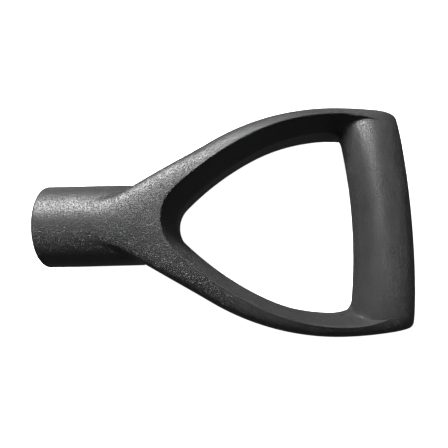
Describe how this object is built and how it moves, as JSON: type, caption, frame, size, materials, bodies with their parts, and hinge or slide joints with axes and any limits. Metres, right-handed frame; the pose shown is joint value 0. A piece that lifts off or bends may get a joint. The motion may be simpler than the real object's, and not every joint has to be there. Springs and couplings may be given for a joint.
{
  "type": "D-grip end handle",
  "caption": "Hollow D-grip with a round shaft socket, forked throat, two arms and a cross grip, closed by a screwed rear cover.",
  "frame": {"origin": "centre of the flat shaft stop at the bottom of the socket", "axes": "+X along the shaft axis from the socket towards the cross grip, +Y across the handle, +Z out of its front"},
  "size_m": [0.1798, 0.112, 0.0423],
  "materials": {
    "black_plastic": "fine spark-eroded grain, satin",
    "zinc_steel": "bright zinc"
  },
  "bodies": {
    "root": {"body": "black_plastic", "rear_cover": "black_plastic", "screw_throat_left": "zinc_steel", "screw_throat_right": "zinc_steel", "screw_arm_left": "zinc_steel", "screw_arm_right": "zinc_steel", "screw_corner_left": "zinc_steel", "screw_corner_right": "zinc_steel"}
  },
  "joints": []
}
